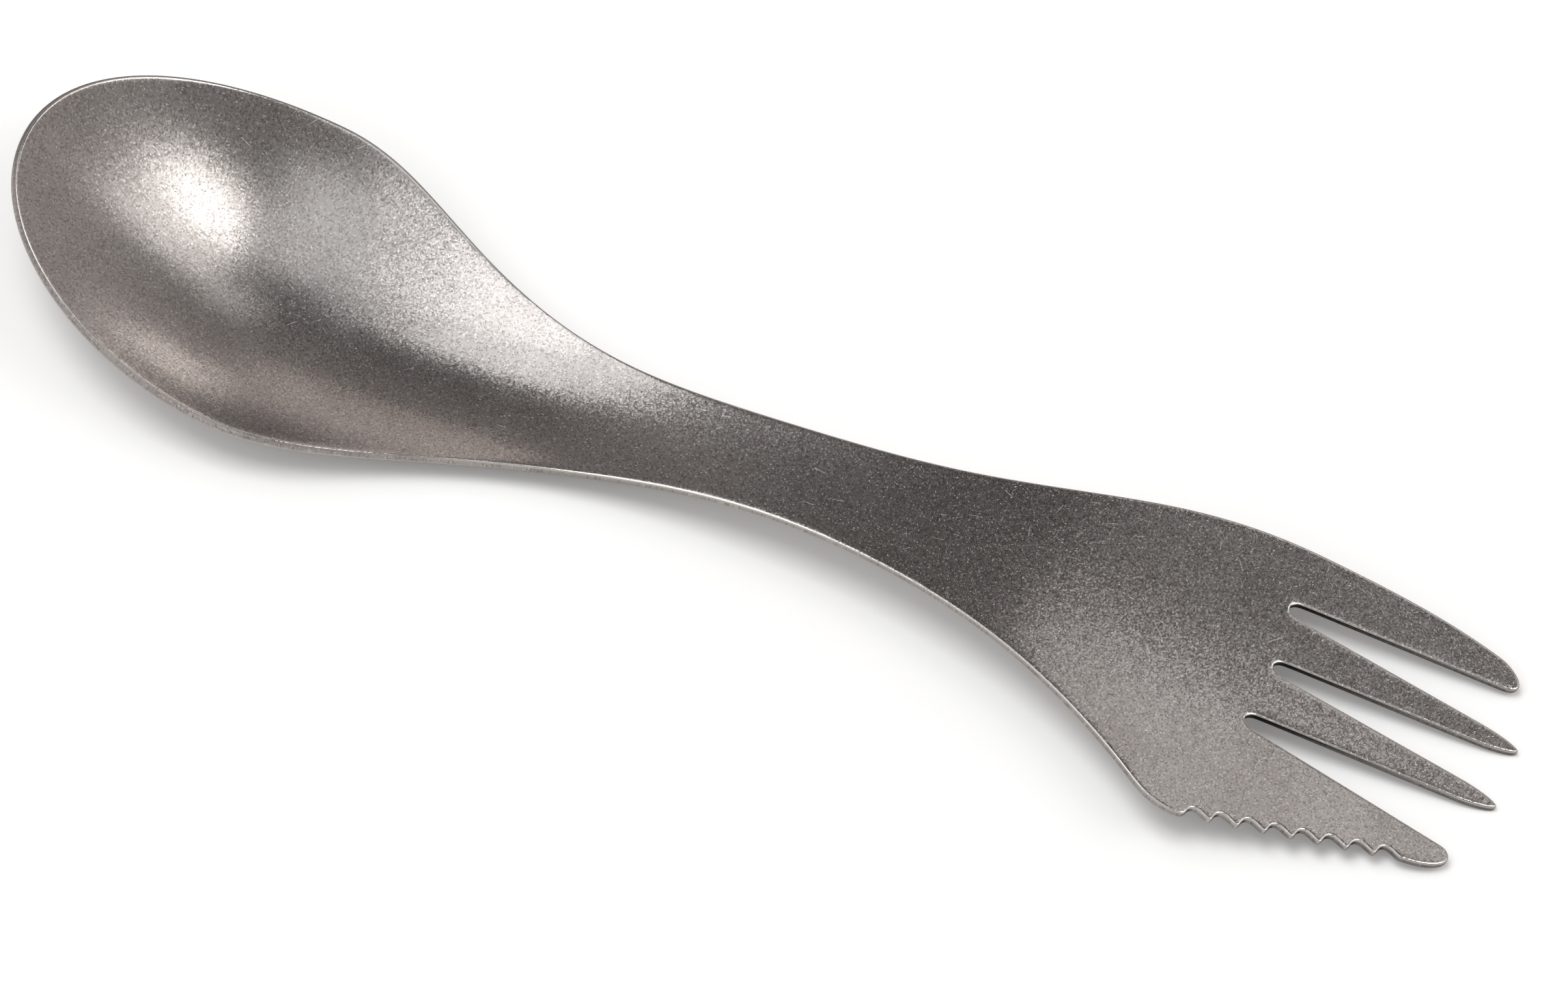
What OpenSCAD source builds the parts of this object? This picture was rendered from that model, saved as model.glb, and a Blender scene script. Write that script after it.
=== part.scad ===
// Titanium spork: one pressed sheet with a spoon bowl, a waisted handle and a four-tined fork,
// whose near outer tine is a blade with a scalloped edge.
// The blank is worked out flat, from the bowl's tip along +X, and then pressed:
// every point is lifted to the spine's height and bent across with the radius it has there.
// The finished piece stands on z = 0, with its length centred on x = 0.

/* [Overall] */
// Length from the bowl's tip to the longest tine
length = 170; // [160:1:180]
// Thickness of the sheet
sheet_t = 1; // [0.8:0.05:1.2]
// Radius that tumbling leaves along every edge
edge_r = 0.2; // [0.1:0.05:0.2]

/* [Bowl] */
// Width of the bowl at its widest place
bowl_w = 39.3; // [34:0.1:44]
// Distance from the bowl's tip to its widest place
bowl_wide_x = 29.5; // [26:0.5:33]
// Radius of the bowl across the length
bowl_r = 27; // [24:0.5:34]
// Height of the sheet's middle at the bowl's tip
tip_h = 15.7; // [12:0.1:18]
// Distance from the bowl's tip to its lowest place
belly_x = 34; // [30:0.5:38]

/* [Handle] */
// Width of the handle at its waist
waist_w = 11.4; // [9:0.2:15]
// Distance from the bowl's tip to the waist
waist_x = 85; // [78:1:92]
// Distance from the bowl's tip to the top of the handle's arch
crest_x = 103; // [96:1:110]
// Height of the sheet's middle at the top of the arch
crest_h = 9.4; // [7:0.1:12]
// Where the bowl's trough starts to flatten out
flatten_from_x = 52; // [46:1:58]
// Where the sheet has come to the handle's flatter radius
flatten_to_x = 84; // [76:1:92]
// Radius of the handle and the fork across the length
flat_r = 190; // [120:5:400]

/* [Fork] */
// Distance from the centre line to the fork's plain side at its widest
plain_side_w = 16.1; // [15:0.1:18]
// How far back from the fork's end that widest place is
plain_side_back = 26.3; // [22:0.1:29]
// How far back from the fork's end the tines become straight, seen from the side
straight_back = 34; // [30:0.5:38]
// Height of the sheet's middle there
straight_h = 5.9; // [4:0.1:7]
// How far back from the fork's end the slots reach
slot_len = 28; // [26.5:0.1:28.5]
// How much shorter the middle slot is
middle_slot_short = 0.7; // [0:0.1:1.2]
// Half the width of a slot where its root has rounded out
slot_half_w = 0.74; // [0.6:0.01:0.85]
// Length over which a slot's root rounds out
slot_root_len = 1.3; // [1:0.1:3]
// Distance from the centre line to the slot beside the plain outer tine
far_slot_y = 8.95; // [8.7:0.05:9.2]
// Distance from the centre line to the middle slot
middle_slot_y = 1.9; // [1.6:0.1:2.2]
// Distance from the centre line to the slot beside the blade
near_slot_y = 5.3; // [5:0.1:5.7]
// How much shorter the two outer tines are
outer_tine_short = 2.4; // [1:0.1:4]
// How much shorter still the blade is
blade_short = 0.3; // [0:0.1:0.6]
// Length over which a slim tine rounds in to its tip
slim_tip_len = 4.5; // [3.5:0.1:6]
// Length over which the plain outer tine's outer side rounds in
plain_tip_len = 3; // [2:0.1:4]
// Length over which an outer tine's inner corner rounds in
inner_corner_len = 1.2; // [0.8:0.1:1.6]

/* [Blade] */
// How far back from the fork's end the scalloped edge begins
blade_back = 30; // [29:0.1:30.6]
// Distance from the centre line to the edge's first tooth
blade_w = 19.4; // [18.5:0.1:20]
// Length over which the shoulder turns into the scalloped edge
shoulder_len = 6; // [4:0.1:7]
// Number of scallops
scallop_n = 8; // [6:1:8]
// Length of one scallop along the spork
scallop_len = 2.86; // [2.7:0.02:2.9]
// Depth of one scallop
scallop_depth = 1.1; // [0.6:0.05:1.3]

/* [Hidden] */

// How far each outline curve runs along its end tangents, as shares of its span
tip_pull_share = 0.58;
bowl_front_pull_share = 0.53;
bowl_back_pull_share = 0.25;
waist_bowl_pull_share = 0.59;
waist_plain_pull_share = 0.53;
plain_pull_share = 0.38;
tine_side_pull_share = 0.38;
tine_end_pull_share = 0.32;
waist_blade_pull_share = 0.42;
shoulder_pull_share = 0.25;
shoulder_round_share = 0.6;
// How fast the outline leaves the centre line, as a share of the distance along it
shoulder_slope_share = 0.65;
plain_end_slope_share = 0.27;
blade_slope_share = 0.305;
blade_tip_slope_share = 0.1;
slot_flare_share = 0.071;
blade_flare_share = 0.118;
// Width left at the plain tine's end, and where an outer tip lies between its inner and outer side
plain_end_share = 0.86;
outer_tip_share = 0.35;
slim_tip_share = 0.5;
// Side view: the fall behind the bowl's tip, and the pulls of the spine's curves
tip_fall_share = 0.85;
spine_tip_pull_share = 0.19;
belly_front_pull_share = 0.41;
belly_back_pull_share = 0.58;
crest_bowl_pull_share = 0.48;
crest_fork_pull_share = 0.36;
tines_pull_share = 0.62;
// A scallop's lean towards its first tooth, the blunt end of a tooth as a share of the scallop,
// and the widest first column of facets along the blade
scallop_lean_share = 0.5;
tooth_land_share = 0.13;
blade_col_share = 0.32;

// Rows of facets along each stretch of the outline, and columns across each of the four tines
front_rows = 13;
back_rows = 20;
handle_rows = 17;
shoulder_rows = 5;
root_rows = 4;
tine_rows = 6;
tip_rows = 6;
blade_tip_rows = 8;
cols = [8, 4, 4, 4];
scallop_shares = [0.05, 0.14, 0.26, 0.42, 0.62, 0.87, 1];
edge_angles = [90, 45, 0];
spine_steps = 170;
soften_passes = 12;
curve_steps = 52;

function bezier(p, t) =
    pow(1 - t, 3) * p[0] + 3 * pow(1 - t, 2) * t * p[1] + 3 * (1 - t) * t * t * p[2] + t * t * t * p[3];
function run(p, n) = [for (i = [1:n]) bezier(p, i / n)];
function mix(a, b, t) = a + (b - a) * t;
function blend(t) = let (u = max(0, min(1, t))) u * u * u * (u * (6 * u - 15) + 10);
function unit(v) = v / norm(v);
function back_to_front(v) = [for (i = [len(v) - 1:-1:0]) v[i]];
function sum(v, n) = n <= 0 ? 0 : v[n - 1] + sum(v, n - 1);

// Side view: the height of the sheet's middle along the centre line
floor_h = sheet_t / 2;
straight_x = length - straight_back;
tine_fall = (straight_h - floor_h) / straight_back;
belly_run = crest_x - belly_x;
fork_run = straight_x - crest_x;
spine_step = length / spine_steps;
margin = spine_step * soften_passes;
spine_line = concat(
    [[-margin, tip_h + margin * tip_fall_share], [0, tip_h]],
    run([[0, tip_h], [belly_x * spine_tip_pull_share, tip_h - belly_x * spine_tip_pull_share * tip_fall_share],
        [belly_x * (1 - belly_front_pull_share), floor_h], [belly_x, floor_h]], curve_steps),
    run([[belly_x, floor_h], [belly_x + belly_run * belly_back_pull_share, floor_h],
        [crest_x - belly_run * crest_bowl_pull_share, crest_h], [crest_x, crest_h]], curve_steps),
    run([[crest_x, crest_h], [crest_x + fork_run * crest_fork_pull_share, crest_h],
        [straight_x - fork_run * tines_pull_share, straight_h + fork_run * tines_pull_share * tine_fall],
        [straight_x, straight_h]], curve_steps),
    [[length + margin, floor_h - margin * tine_fall]]);

// The press leaves no sudden change of curvature, so each height is evened out with its neighbours
function soften(v, passes) =
    passes == 0 ? v :
    soften([for (i = [0:len(v) - 1])
        i == 0 || i == len(v) - 1 ? v[i] : (v[i - 1] + 2 * v[i] + v[i + 1]) / 4], passes - 1);
spine_xs = [for (i = [-soften_passes:spine_steps + soften_passes]) i * spine_step];
spine_hs = soften([for (x = spine_xs) lookup(x, spine_line)], soften_passes);
spine = [for (i = [0:len(spine_xs) - 1]) [spine_xs[i], spine_hs[i]]];

// Curvature across the length: the bowl's trough runs into the neck and flattens out
function across(x) =
    mix(1 / bowl_r, 1 / flat_r, blend((x - flatten_from_x) / (flatten_to_x - flatten_from_x)));

// A point of the flat blank when pressed, and the same point lifted off the sheet's middle
function pressed(p) = [p[0], p[1], lookup(p[0], spine) + p[1] * p[1] * across(p[0]) / 2];
function normal(p) = unit(cross(
    pressed(p + [spine_step, 0]) - pressed(p - [spine_step, 0]),
    pressed(p + [0, spine_step]) - pressed(p - [0, spine_step])));
function lifted(p, lift) = pressed(p) + normal(p) * lift;

// Bowl and waist, alike on both sides, as distances from the centre line
back_run = waist_x - bowl_wide_x;
front_curve = [[0, 0], [0, bowl_w / 2 * tip_pull_share],
    [bowl_wide_x * (1 - bowl_front_pull_share), bowl_w / 2], [bowl_wide_x, bowl_w / 2]];
back_curve = [[bowl_wide_x, bowl_w / 2], [bowl_wide_x + back_run * bowl_back_pull_share, bowl_w / 2],
    [waist_x - back_run * waist_bowl_pull_share, waist_w / 2], [waist_x, waist_w / 2]];

// Plain side, on +Y, to the outer tine's end
outer_tip_x = length - outer_tine_short;
plain_x = length - plain_side_back;
plain_run = plain_x - waist_x;
side_run = outer_tip_x - plain_x;
plain_end_w = plain_side_w * plain_end_share;
plain_curve = [[waist_x, waist_w / 2], [waist_x + plain_run * waist_plain_pull_share, waist_w / 2],
    [plain_x - plain_run * plain_pull_share, plain_side_w], [plain_x, plain_side_w]];
tine_curve = [[plain_x, plain_side_w], [plain_x + side_run * tine_side_pull_share, plain_side_w],
    [outer_tip_x - side_run * tine_end_pull_share,
     plain_end_w + side_run * tine_end_pull_share * plain_end_slope_share],
    [outer_tip_x, plain_end_w]];
plain_side = concat([[0, 0]], run(front_curve, front_rows * 4), run(back_curve, back_rows * 4),
    run(plain_curve, curve_steps), run(tine_curve, curve_steps));

// Blade's side, on -Y: the shoulder turns into the line of the teeth
blade_x = length - blade_back;
shoulder_x = blade_x - shoulder_len;
shoulder_w = blade_w - shoulder_len / 2 * (shoulder_slope_share - blade_slope_share);
shoulder_run = shoulder_x - waist_x;
round_run = shoulder_len / 2 * shoulder_round_share;
handle_curve = [[waist_x, waist_w / 2], [waist_x + shoulder_run * waist_blade_pull_share, waist_w / 2],
    [shoulder_x - shoulder_run * shoulder_pull_share,
     shoulder_w - shoulder_run * shoulder_pull_share * shoulder_slope_share],
    [shoulder_x, shoulder_w]];
shoulder_curve = [[shoulder_x, shoulder_w],
    [shoulder_x + round_run, shoulder_w + round_run * shoulder_slope_share],
    [blade_x - round_run, blade_w + round_run * blade_slope_share], [blade_x, blade_w]];

// Each scallop drops in steeply behind its tooth and runs out slowly to the next tooth's blunt end
function teeth_w(x) = blade_w - (x - blade_x) * blade_slope_share;
function scallop(n) = [for (share = scallop_shares)
    let (x = blade_x + (n + share) * scallop_len, along = min(1, share / (1 - tooth_land_share)))
    [x, teeth_w(x) - scallop_depth * sin(180 * pow(along, scallop_lean_share))]];
blade_end_x = blade_x + scallop_n * scallop_len;
blade_end_w = teeth_w(blade_end_x);
blade_tip_x = outer_tip_x - blade_short;
blade_tip_len = blade_tip_x - blade_end_x;
blade_tip = [for (i = [1:blade_tip_rows])
    let (along = blade_tip_len * sin(90 * i / blade_tip_rows))
    [blade_end_x + along, blade_end_w - along * blade_tip_slope_share]];

// Rows before the slots' roots, as points on the blade's side and on the plain side
near_rows = [for (p = concat(run(front_curve, front_rows), run(back_curve, back_rows),
    run(handle_curve, handle_rows), run(shoulder_curve, shoulder_rows), scallop(0))) [p[0], -p[1]]];
far_rows = [for (p = near_rows) [p[0], lookup(p[0], plain_side)]];
row_n = len(near_rows);
palm_x = near_rows[row_n - 1][0];

// Slots, from the blade to the plain side
slot_ys = [-near_slot_y, middle_slot_y, far_slot_y];
root_x = length - slot_len;
slot_roots = [root_x, root_x + middle_slot_short, root_x];
function half_gap(x, root, flare) =
    let (u = min(1, (x - root) / slot_root_len))
    slot_half_w * sqrt(1 - (1 - u) * (1 - u)) + flare * (x - root);

// Tines, from the blade to the plain one: where they end, and how far back their sides round in
tip_xs = [blade_tip_x, length, length, outer_tip_x];
tip_shares = [1 - outer_tip_share, slim_tip_share, slim_tip_share, outer_tip_share];
near_round = [blade_tip_len, slim_tip_len, slim_tip_len, inner_corner_len];
far_round = [inner_corner_len, slim_tip_len, slim_tip_len, plain_tip_len];
blade_rows = concat([for (n = [1:scallop_n - 1]) each scallop(n)], blade_tip);
function near_side(i, x) =
    i == 0 ? -lookup(x, concat([[palm_x, -near_rows[row_n - 1][1]]], blade_rows)) :
    slot_ys[i - 1] + half_gap(x, slot_roots[i - 1], slot_flare_share);
function far_side(i, x) =
    i == 3 ? lookup(x, plain_side) :
    slot_ys[i] - half_gap(x, slot_roots[i], i == 0 ? blade_flare_share : slot_flare_share);
tip_ys = [for (i = [0:3]) mix(near_side(i, tip_xs[i]), far_side(i, tip_xs[i]), tip_shares[i])];
function rounded(i, x, y, reach) =
    let (u = max(0, 1 - (tip_xs[i] - x) / reach))
    tip_ys[i] + (y - tip_ys[i]) * sqrt(max(0, 1 - u * u));

// Rows along one side of a slim or plain tine, from the slot's root to the tip
function tine_xs(start, end, reach) = concat(
    [for (i = [1:root_rows]) start + slot_root_len * (1 - cos(90 * i / root_rows))],
    [for (i = [1:tine_rows]) mix(start + slot_root_len, end - reach, i / tine_rows)],
    [for (i = [1:tip_rows]) end - reach * (1 - sin(90 * i / tip_rows))]);
function near_xs(i) =
    i == 0 ? [for (p = blade_rows) p[0]] :
    tine_xs(slot_roots[i - 1], tip_xs[i], max(near_round[i], far_round[i]));
function far_xs(i) =
    i == 0 ? [for (x = near_xs(0)) mix(root_x, blade_tip_x, (x - palm_x) / (blade_tip_x - palm_x))] :
    tine_xs(i == 3 ? palm_x : slot_roots[i], tip_xs[i], max(near_round[i], far_round[i]));
near_edges = [for (i = [0:3]) [for (x = near_xs(i)) [x, rounded(i, x, near_side(i, x), near_round[i])]]];
far_edges = [for (i = [0:3]) [for (x = far_xs(i)) [x, rounded(i, x, far_side(i, x), far_round[i])]]];
tine_n = [for (i = [0:3]) len(near_edges[i])];

// The whole outline as one loop, counter-clockwise: out along the blade's side, round each tine
// and slot, and back along the plain side
function but_last(v) = [for (i = [0:len(v) - 2]) v[i]];
outline = concat([[0, 0]], near_rows,
    [for (i = [0:3]) each concat(near_edges[i], back_to_front(but_last(far_edges[i])),
        i < 3 ? [[slot_roots[i], slot_ys[i]]] : [])],
    back_to_front(far_rows));
outline_n = len(outline);
starts = [for (i = [0:4]) row_n + 2 * sum(tine_n, i)];
outward = [for (i = [0:outline_n - 1])
    let (t = outline[(i + 1) % outline_n] - outline[(i + outline_n - 1) % outline_n]) unit([t[1], -t[0]])];
function inset(i, depth) = outline[i] - outward[i] * depth;

// The flat blank inside its rounded edge, as rows and columns of points. Columns end at the slots'
// roots, so the last rows of the palm bend to meet them.
col_n = sum(cols, 4);
col_starts = [for (i = [0:4]) sum(cols, i)];
near_end = inset(row_n, edge_r);
far_end = inset(starts[4], edge_r);
root_shares = [for (y = slot_ys) (y - near_end[1]) / (far_end[1] - near_end[1])];
limits = concat([0], root_shares, [1]);
bend_table = [for (i = [0:4]) [col_starts[i], i == 0 || i == 4 ? 0 :
    slot_roots[i - 1] - edge_r - mix(near_end[0], far_end[0], root_shares[i - 1])]];
// Along the blade the first column lies behind the scallops, and all others start from their line
function behind_teeth(k) =
    let (a = inset(k, edge_r))
    outline[k][0] > blade_x && outline[k][0] < blade_end_x ? [a[0], edge_r - teeth_w(outline[k][0])] : a;
function col_share(i, c, w) =
    i > 0 ? c / cols[i] :
    let (first = max(1 / cols[0], min(blade_col_share, (scallop_depth + 2 * edge_r) / w)))
    mix(first, 1, (c - 1) / (cols[0] - 1));
palm_inner = [for (r = [1:row_n]) for (i = [0:3]) for (c = [1:cols[i]])
    let (a = behind_teeth(r), b = inset(starts[4] + row_n - r, edge_r),
         share = mix(limits[i], limits[i + 1], col_share(i, c, (b[1] - a[1]) * limits[1])),
         bend = blend((near_rows[r - 1][0] - crest_x) / (palm_x - crest_x)))
    if (i < 3 || c < cols[i]) mix(a, b, share) + [bend * lookup(col_starts[i] + c, bend_table), 0]];
tine_inner = [for (i = [0:3]) for (j = [1:tine_n[i] - 1])
    let (a = i == 0 ? behind_teeth(starts[i] + j) : inset(starts[i] + j, edge_r),
         b = inset(starts[i + 1] - j, edge_r))
    for (c = [1:cols[i] - 1]) mix(a, b, col_share(i, c, b[1] - a[1]))];
blank = concat([for (i = [0:outline_n - 1]) inset(i, edge_r)], palm_inner, tine_inner);
tine_firsts = [for (i = [0:4]) outline_n + row_n * (col_n - 1)
    + sum([for (k = [0:3]) (tine_n[k] - 1) * (cols[k] - 1)], i)];

// Number of the blank's point in a row and column, of the palm or of a tine
function root_at(c) = c == col_starts[1] ? 1 : c == col_starts[2] ? 2 : c == col_starts[3] ? 3 : 0;
function palm_id(r, c) =
    r == 0 ? 0 : c == 0 ? r : c == col_n ? starts[4] + row_n - r :
    r == row_n && root_at(c) > 0 ? starts[root_at(c)] : outline_n + (r - 1) * (col_n - 1) + c - 1;
function tine_id(i, j, c) =
    j == 0 ? palm_id(row_n, col_starts[i] + c) : j == tine_n[i] || c == 0 ? starts[i] + j :
    c == cols[i] ? starts[i + 1] - j : tine_firsts[i] + (j - 1) * (cols[i] - 1) + c - 1;

// Facets, clockwise from outside; a quarter that comes to a point is one facet
function facets(a, b, c, d) = concat(a == b || b == c ? [] : [[a, b, c]], c == d || d == a ? [] : [[a, c, d]]);
top_facets = concat(
    [for (r = [0:row_n - 1]) for (c = [0:col_n - 1])
        each facets(palm_id(r, c), palm_id(r, c + 1), palm_id(r + 1, c + 1), palm_id(r + 1, c))],
    [for (i = [0:3]) for (j = [0:tine_n[i] - 1]) for (c = [0:cols[i] - 1])
        each facets(tine_id(i, j, c), tine_id(i, j, c + 1), tine_id(i, j + 1, c + 1), tine_id(i, j + 1, c))]);

// Rounded edge: rings of points from the top face round to the bottom face
rings = concat(
    [for (a = edge_angles) [edge_r * (1 - cos(a)), sheet_t / 2 - edge_r * (1 - sin(a))]],
    [for (a = back_to_front(edge_angles)) [edge_r * (1 - cos(a)), edge_r * (1 - sin(a)) - sheet_t / 2]]);
ring_n = len(rings);
blank_n = len(blank);
bottom_first = blank_n + (ring_n - 2) * outline_n;
function ring_first(k) = k == 0 ? 0 : k == ring_n - 1 ? bottom_first : blank_n + (k - 1) * outline_n;
edge_facets = [for (k = [0:ring_n - 2]) for (i = [0:outline_n - 1])
    let (next = (i + 1) % outline_n, a = ring_first(k), b = ring_first(k + 1))
    each facets(a + i, a + next, b + next, b + i)];

module spork() {
    points = concat(
        [for (p = blank) lifted(p, sheet_t / 2)],
        [for (k = [1:ring_n - 2]) for (i = [0:outline_n - 1]) lifted(inset(i, rings[k][0]), rings[k][1])],
        [for (p = blank) lifted(p, -sheet_t / 2)]);
    xs = [for (p = points) p[0]];
    bottom_facets = [for (f = top_facets) [f[2] + bottom_first, f[1] + bottom_first, f[0] + bottom_first]];
    color("#8b8782")
        translate([-(min(xs) + max(xs)) / 2, 0, -min([for (p = points) p[2]])])
            polyhedron(points, concat(top_facets, edge_facets, bottom_facets), convexity = 6);
}

spork();
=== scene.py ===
from math import cos, pi, radians, sin

import bpy
import numpy as np
from mathutils import Matrix, Vector


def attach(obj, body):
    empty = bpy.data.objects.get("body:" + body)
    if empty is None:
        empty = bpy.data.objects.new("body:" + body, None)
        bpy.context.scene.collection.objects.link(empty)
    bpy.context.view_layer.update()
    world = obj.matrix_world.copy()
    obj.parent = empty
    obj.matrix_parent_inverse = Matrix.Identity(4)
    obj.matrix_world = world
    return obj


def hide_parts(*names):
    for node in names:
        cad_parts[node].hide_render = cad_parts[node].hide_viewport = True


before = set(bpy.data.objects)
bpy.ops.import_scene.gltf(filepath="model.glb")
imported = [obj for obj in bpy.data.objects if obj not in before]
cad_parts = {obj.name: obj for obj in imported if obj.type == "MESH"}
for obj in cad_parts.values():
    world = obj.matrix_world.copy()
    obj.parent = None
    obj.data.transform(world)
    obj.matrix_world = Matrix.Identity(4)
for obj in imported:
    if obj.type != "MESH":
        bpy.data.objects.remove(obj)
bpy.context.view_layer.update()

scene = bpy.context.scene
scene.view_settings.view_transform = "Standard"
mm = 0.001


# Camera: looks down from the blade's side, a little from the fork's end, and rolled
cameraSet = {
    "azimuth": 8, "elevation": 61, "roll": 14.57,
    "target": (0.00305, 0.0, 0.0042), "distance": 1.2, "clip": (0.05, 20),
    "photoWidth": 2408, "pixelsPerMetre": 14523,   # pixels of the photograph, at the target
}


def makeCamera():
    c = cameraSet
    azimuth, elevation = radians(c["azimuth"]), radians(c["elevation"])
    away = Vector((sin(azimuth) * cos(elevation), -cos(azimuth) * cos(elevation), sin(elevation)))
    right = Vector((cos(azimuth), sin(azimuth), 0))
    level = Matrix((right, away.cross(right), away)).transposed()
    lens = bpy.data.cameras.new("photoCamera")
    lens.lens = c["pixelsPerMetre"] * c["distance"] * lens.sensor_width / c["photoWidth"]
    lens.clip_start, lens.clip_end = c["clip"]
    camera = bpy.data.objects.new("photoCamera", lens)
    scene.collection.objects.link(camera)
    camera.location = Vector(c["target"]) + away * c["distance"]
    camera.rotation_euler = (level @ Matrix.Rotation(radians(c["roll"]), 3, "Z")).to_euler()
    scene.camera = camera
    print("camera", round(lens.lens), "mm")


# Shader maths: a wire is a node's output, and sums on wires add Math nodes
class Wire:
    def __init__(self, tree, socket):
        self.tree, self.socket = tree, socket

    # Any node: i0, i1 and so on are its inputs by number, the others go by name
    def node(self, kind, settings=None, output=0, **inputs):
        new = self.tree.nodes.new(kind)
        for name, value in (settings or {}).items():
            setattr(new, name, value)
        for name, value in inputs.items():
            number = name[1:]
            socket = new.inputs[int(number) if number.isdigit() else name.replace("_", " ")]
            if isinstance(value, Wire):
                self.tree.links.new(value.socket, socket)
            else:
                socket.default_value = value
        return Wire(self.tree, new.outputs[output] if new.outputs else None)

    # Another output of the same node
    def also(self, output):
        return Wire(self.tree, self.socket.node.outputs[output])

    # Mixes two colours, which are inputs 6 and 7 and output 2 of a Mix node
    def mix(self, amount, first, second):
        return self.node("ShaderNodeMix", {"data_type": "RGBA"}, 2, i0=amount, i6=first, i7=second)

    # 0 up to low, 1 from high on, and smooth from one to the other
    def between(self, low, high):
        return self.node("ShaderNodeMapRange", {"interpolation_type": "SMOOTHSTEP"},
                         i0=self, i1=low, i2=high)

    def maths(self, operation, first, second=0.0):
        return self.node("ShaderNodeMath", {"operation": operation}, i0=first, i1=second)

    def __add__(self, other):
        return self.maths("ADD", self, other)

    def __radd__(self, other):
        return self.maths("ADD", other, self)

    def __sub__(self, other):
        return self.maths("SUBTRACT", self, other)

    def __rsub__(self, other):
        return self.maths("SUBTRACT", other, self)

    def __mul__(self, other):
        return self.maths("MULTIPLY", self, other)

    def __rmul__(self, other):
        return self.maths("MULTIPLY", other, self)

    def __lt__(self, other):
        return self.maths("LESS_THAN", self, other)

    def __abs__(self):
        return self.maths("ABSOLUTE", self)

    def cosine(self):
        return self.maths("COSINE", self)

    def sine(self):
        return self.maths("SINE", self)


def newTree(owner):
    owner.use_nodes = True
    owner.node_tree.nodes.clear()
    return Wire(owner.node_tree, None)


# Titanium: tumbled bare metal with faint clouds, small facets turned at random, dents at every
# angle, a few scratches and pits, and edges lightened: rubbed metal and a painted highlight
titaniumSet = {
    "colour": (0.58, 0.557, 0.553, 1), "stain": (0.49, 0.463, 0.458, 1),
    # the light colour serves scratches, brighter facets, and the painted highlight along the edges
    "pit": (0.20, 0.18, 0.165, 1), "rubbedAndHighlight": (0.82, 0.805, 0.785, 1),
    "roughness": 0.18, "bowlRoughness": 0.25, "rubbedRoughness": 0.16,
    "bowlEnd": (-58 * mm, -32 * mm),   # where along x the bowl's finish gives way to the handle's
    "cloudSize": 9 * mm, "cloudDetail": 4.0, "cloudRoughness": 0.6,
    "cloudRange": (0.35, 0.7), "stainAmount": 0.8,
    "facetSize": 0.16 * mm, "facetTilt": 0.031,
    "dullShare": 0.18, "dullTone": 0.42,   # share of the facets that are duller, and how much
    "shinyShare": 0.10, "shinyTone": 0.5,   # and of those that are brighter
    "pitTone": 0.7, "scratchTone": 0.3,
    "edgeRange": (0.8, 3.0),   # curvature, per mm, where the rubbing and the painted edge highlight start and where they are full
    "bowlEdge": 0.5,   # how much of the rubbing and the painted edge highlight the bowl's rim gets, against 1 for the other edges
}
# Marks: how far apart they lie, their length, width and depth, and the share of places with one
dentSet = {
    "spacing": 0.40 * mm, "length": 0.24 * mm, "width": 0.08 * mm,
    "depth": 0.008 * mm, "share": 0.3,
}
scratchSet = {
    "spacing": 2.8 * mm, "length": 1.5 * mm, "width": 0.06 * mm,
    "depth": 0.008 * mm, "share": 0.3,
}
pitSet = {
    "spacing": 1.5 * mm, "length": 0.12 * mm, "width": 0.10 * mm,
    "depth": 0.010 * mm, "share": 0.4,
}
markCore = {"length": 0.3, "width": 0.1}   # how far from its middle a mark is at full depth


# One cell of a random pattern: three chances between 0 and 1, and the way from the cell's middle
def cells(place, spacing):
    cell = place.node("ShaderNodeTexVoronoi", {"voronoi_dimensions": "2D"}, "Position",
                      Vector=place, Scale=1 / spacing)
    chance = place.node("ShaderNodeSeparateColor", Color=cell.also("Color"))
    away = place.node("ShaderNodeVectorMath", {"operation": "SUBTRACT"}, i0=place, i1=cell)
    away = place.node("ShaderNodeSeparateXYZ", Vector=away)
    return chance, chance.also("Green"), chance.also("Blue"), away.also("X"), away.also("Y")


# Marks at random places and angles: 1 at the middle of each, and 0 between them
def makeMarks(place, s):
    chance, turn, _, x, y = cells(place, s["spacing"])
    turn = 2 * pi * turn
    east, north = turn.cosine(), turn.sine()
    far = abs(x * east + y * north).between(s["length"] * markCore["length"], s["length"] / 2)
    aside = abs(y * east - x * north).between(s["width"] * markCore["width"], s["width"] / 2)
    return (1 - far) * (1 - aside) * (chance < s["share"])


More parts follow.
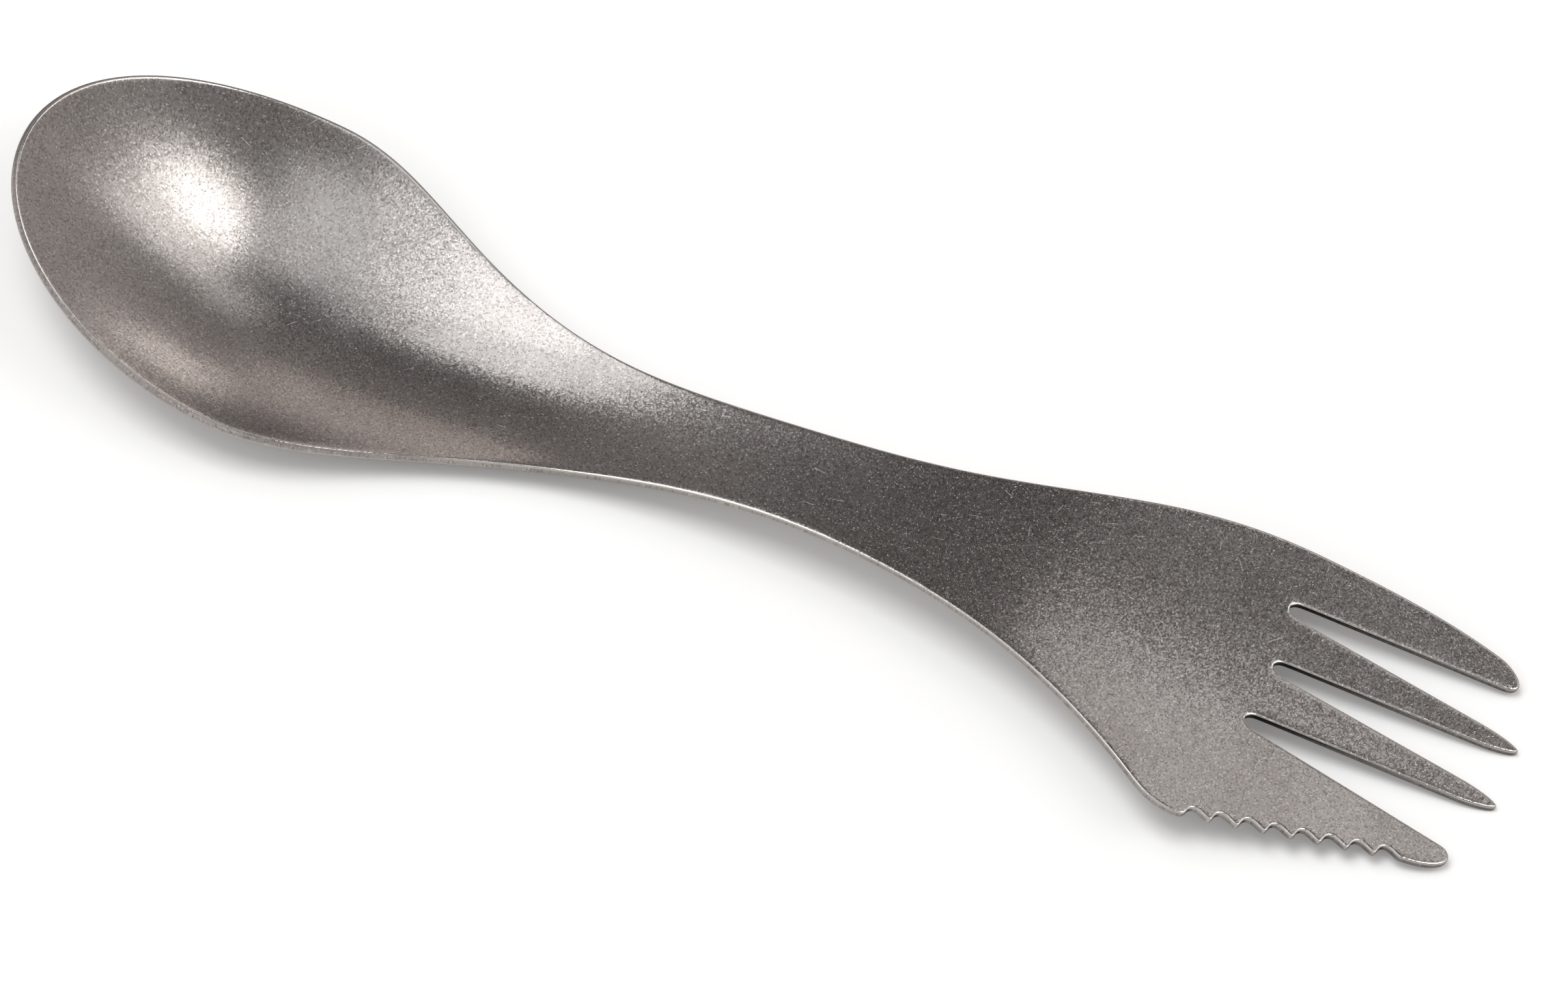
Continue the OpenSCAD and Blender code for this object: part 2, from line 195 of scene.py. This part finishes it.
def makeTitanium():
    t = titaniumSet
    material = bpy.data.materials.new("tumbledTitanium")
    w = newTree(material)
    place = w.node("ShaderNodeTexCoord", output="Object")
    handle = w.node("ShaderNodeSeparateXYZ", Vector=place).between(*t["bowlEnd"])
    cloud = w.node("ShaderNodeTexNoise", Vector=place, Scale=1 / t["cloudSize"],
                   Detail=t["cloudDetail"], Roughness=t["cloudRoughness"])
    cloud = cloud.between(*t["cloudRange"])
    east, north, tone, x, y = cells(place, t["facetSize"])
    facets = 2 * t["facetTilt"] * (x * (east - 0.5) + y * (north - 0.5))
    dents, scratches, pits = (makeMarks(place, s) for s in (dentSet, scratchSet, pitSet))
    edge = w.node("ShaderNodeAttribute", {"attribute_name": "sharpness"}, "Fac")
    edge = edge.between(*t["edgeRange"])

    colour = w.mix(t["stainAmount"] * cloud, t["colour"], t["stain"])
    colour = w.mix(t["dullTone"] * (tone < t["dullShare"]), colour, t["pit"])
    colour = w.mix(t["shinyTone"] * (1 - tone < t["shinyShare"]), colour, t["rubbedAndHighlight"])
    colour = w.mix(t["pitTone"] * pits, colour, t["pit"])
    colour = w.mix(t["scratchTone"] * scratches, colour, t["rubbedAndHighlight"])
    # Painted highlight: the edges are lightened toward the light colour, the bowl's rim less
    colour = w.mix(edge * (t["bowlEdge"] + handle * (1 - t["bowlEdge"])), colour, t["rubbedAndHighlight"])

    rough = t["bowlRoughness"] + handle * (t["roughness"] - t["bowlRoughness"])
    rough = rough + edge * (t["rubbedRoughness"] - rough)
    height = (facets - dents * dentSet["depth"] - scratches * scratchSet["depth"]
              - pits * pitSet["depth"])
    bump = w.node("ShaderNodeBump", Strength=1.0, Distance=1.0, Height=height)
    shade = w.node("ShaderNodeBsdfPrincipled", Base_Color=colour, Metallic=1.0,
                   Roughness=rough, Normal=bump)
    w.node("ShaderNodeOutputMaterial", Surface=shade)
    print("titanium", len(material.node_tree.nodes), "nodes")
    return material


# The spork: the pressed sheet is welded, joined to four-sided faces and smoothed
sporkSet = {"weld": 0.001 * mm, "flatAngle": 60, "squareAngle": 100, "levels": 2}


# Keeps how sharply the sheet turns at each point, per mm, for the rubbed metal and the painted
# highlight along the edges
def markEdges(mesh):
    points = np.empty(len(mesh.vertices) * 3)
    normals = np.empty(len(mesh.vertices) * 3)
    ends = np.empty(len(mesh.edges) * 2, dtype=int)
    mesh.vertices.foreach_get("co", points)
    mesh.vertex_normals.foreach_get("vector", normals)
    mesh.edges.foreach_get("vertices", ends)
    first, last = ends.reshape(-1, 2).T
    points, normals = points.reshape(-1, 3), normals.reshape(-1, 3)
    step = points[last] - points[first]
    turn = ((normals[last] - normals[first]) * step).sum(1) / (step * step).sum(1) * mm
    sharp = np.zeros(len(points))
    np.maximum.at(sharp, first, turn)
    np.maximum.at(sharp, last, turn)
    mesh.attributes.new("sharpness", "FLOAT", "POINT").data.foreach_set("value", sharp)


def makeSpork():
    s = sporkSet
    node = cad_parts["spork"]
    bpy.ops.object.select_all(action="DESELECT")
    sheet = bpy.data.objects.new("sporkSheet", node.data.copy())
    scene.collection.objects.link(sheet)
    sheet.select_set(True)
    bpy.context.view_layer.objects.active = sheet
    bpy.ops.object.mode_set(mode="EDIT")
    bpy.ops.mesh.select_all(action="SELECT")
    bpy.ops.mesh.remove_doubles(threshold=s["weld"])
    bpy.ops.mesh.tris_convert_to_quads(face_threshold=radians(s["flatAngle"]),
                                       shape_threshold=radians(s["squareAngle"]))
    bpy.ops.object.mode_set(mode="OBJECT")
    smooth = sheet.modifiers.new("smooth", "SUBSURF")
    smooth.levels = smooth.render_levels = s["levels"]
    bpy.ops.object.modifier_apply(modifier=smooth.name)
    bpy.ops.object.shade_smooth()
    markEdges(sheet.data)
    sheet.data.materials.clear()
    sheet.data.materials.append(makeTitanium())
    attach(sheet, "root")
    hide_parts("spork")
    print("spork", len(sheet.data.polygons), "faces")


# Floor: white to the camera, and grey where the metal mirrors it, with painted shade near and behind
# the spork in what the metal mirrors
floorSet = {
    "size": 8, "colour": (0.895, 0.905, 0.915, 1), "lift": 0.14,
    "mirrored": (0.55, 0.53, 0.51, 1),
    "gap": 8 * mm,   # how far from the metal the painted shade in the mirrored floor reaches
    "behind": 0.35, "behindReach": 30 * mm,   # how bright the mirrored floor is painted that far behind, against 1 in front
}


def makeFloor():
    f = floorSet
    bpy.ops.mesh.primitive_plane_add(size=f["size"])
    floor = bpy.context.object
    floor.name = "floor"
    material = bpy.data.materials.new("paleFloor")
    w = newTree(material)
    # Painted shade: what the metal mirrors of the floor is darkened near the metal by ambient
    # occlusion, and towards the back
    clear = w.node("ShaderNodeAmbientOcclusion", output="AO", Distance=f["gap"])
    place = w.node("ShaderNodeTexCoord", output="Object")
    behind = w.node("ShaderNodeSeparateXYZ", output="Y", Vector=place).between(0, f["behindReach"])
    bright = clear * clear * (1 + behind * (f["behind"] - 1))
    below = w.mix(bright, (0, 0, 0, 1), f["mirrored"])
    glossy = w.node("ShaderNodeLightPath", output="Is Glossy Ray")
    matt = w.node("ShaderNodeBsdfDiffuse", Color=w.mix(glossy, f["colour"], below))
    seen = w.node("ShaderNodeLightPath", output="Is Camera Ray")
    glow = w.node("ShaderNodeEmission", Strength=seen * f["lift"])
    both = w.node("ShaderNodeAddShader", i0=matt, i1=glow)
    w.node("ShaderNodeOutputMaterial", Surface=both)
    floor.data.materials.append(material)
    print("floor", f["size"], "m")


# Lamps: the way to each from the spork, its width and height in radians, its radiance and colour
lampSet = {
    "rightBox": ((0.545, 0.04, 0.84), (0.31, 0.41), 2.2, (1, 0.975, 0.94)),
    "rightTail": ((0.40, 0.27, 0.87), (0.16, 0.17), 0.62, (1, 0.975, 0.94)),
    "rightSide": ((0.595, 0.27, 0.76), (0.42, 0.60), 1.3, (1, 0.975, 0.94)),
    "leftBox": ((-0.455, -0.30, 0.86), (0.61, 0.84), 0.64, (1, 0.99, 0.975)),
    "leftCard": ((-0.455, -0.14, 0.86), (0.61, 1.18), 1.25, (1, 0.99, 0.975)),
    "topCard": ((0.10, -0.15, 0.97), (0.38, 0.79), 0.80, (1, 0.99, 0.975)),
    "farCard": ((0.28, 0.58, 0.77), (0.20, 0.20), 0.68, (1, 0.97, 0.94)),
    "warmCard": ((0.16, 0.97, 0.14), (0.26, 0.20), 1.05, (1, 0.90, 0.81)),
    "backCard": ((-0.20, 0.90, 0.38), (0.50, 0.35), 0.24, (1, 0.84, 0.74)),
    "nearCard": ((-0.1, -0.93, 0.35), (1.3, 0.4), 0.3, (1, 0.99, 0.975)),
    "shadowLamp": ((-0.22, -0.12, 0.97), (0.38, 0.38), 7.8, (1, 1, 1)),   # the metal doesn't show it
}
lampDistance = 3.0


def makeLamps():
    for name, (toward, size, radiance, colour) in lampSet.items():
        toward = Vector(toward).normalized()
        light = bpy.data.lights.new(name, "AREA")
        light.shape = "RECTANGLE"
        light.size, light.size_y = (lampDistance * side for side in size)
        light.energy = radiance * light.size * light.size_y * pi
        light.color = colour
        lamp = bpy.data.objects.new(name, light)
        scene.collection.objects.link(lamp)
        lamp.location = toward * lampDistance
        across = Vector((1, 0, 0)).cross(toward).cross(toward).normalized()
        lamp.rotation_euler = Matrix((across, toward.cross(across), toward)).transposed().to_euler()
        lamp.visible_camera = False
        lamp.visible_glossy = name != "shadowLamp"
    print("lamps", len(lampSet))


# Room: white to the camera, and to the metal a dim one, brighter near the floor than overhead
roomSet = {"colour": (1, 0.92, 0.88, 1), "low": 0.48, "high": 0.03}


def makeRoom():
    r = roomSet
    room = bpy.data.worlds.new("room")
    scene.world = room
    w = newTree(room)
    place = w.node("ShaderNodeTexCoord", output="Generated")
    height = w.node("ShaderNodeSeparateXYZ", output="Z", Vector=place)
    level = r["low"] + height * (r["high"] - r["low"])
    dim = w.node("ShaderNodeBackground", Color=r["colour"], Strength=level)
    white = w.node("ShaderNodeBackground", Color=(1, 1, 1, 1), Strength=1.0)
    seen = w.node("ShaderNodeLightPath", output="Is Camera Ray")
    both = w.node("ShaderNodeMixShader", i0=seen, i1=dim, i2=white)
    w.node("ShaderNodeOutputWorld", Surface=both)
    print("room")


makeCamera()
makeSpork()
makeFloor()
makeLamps()
makeRoom()
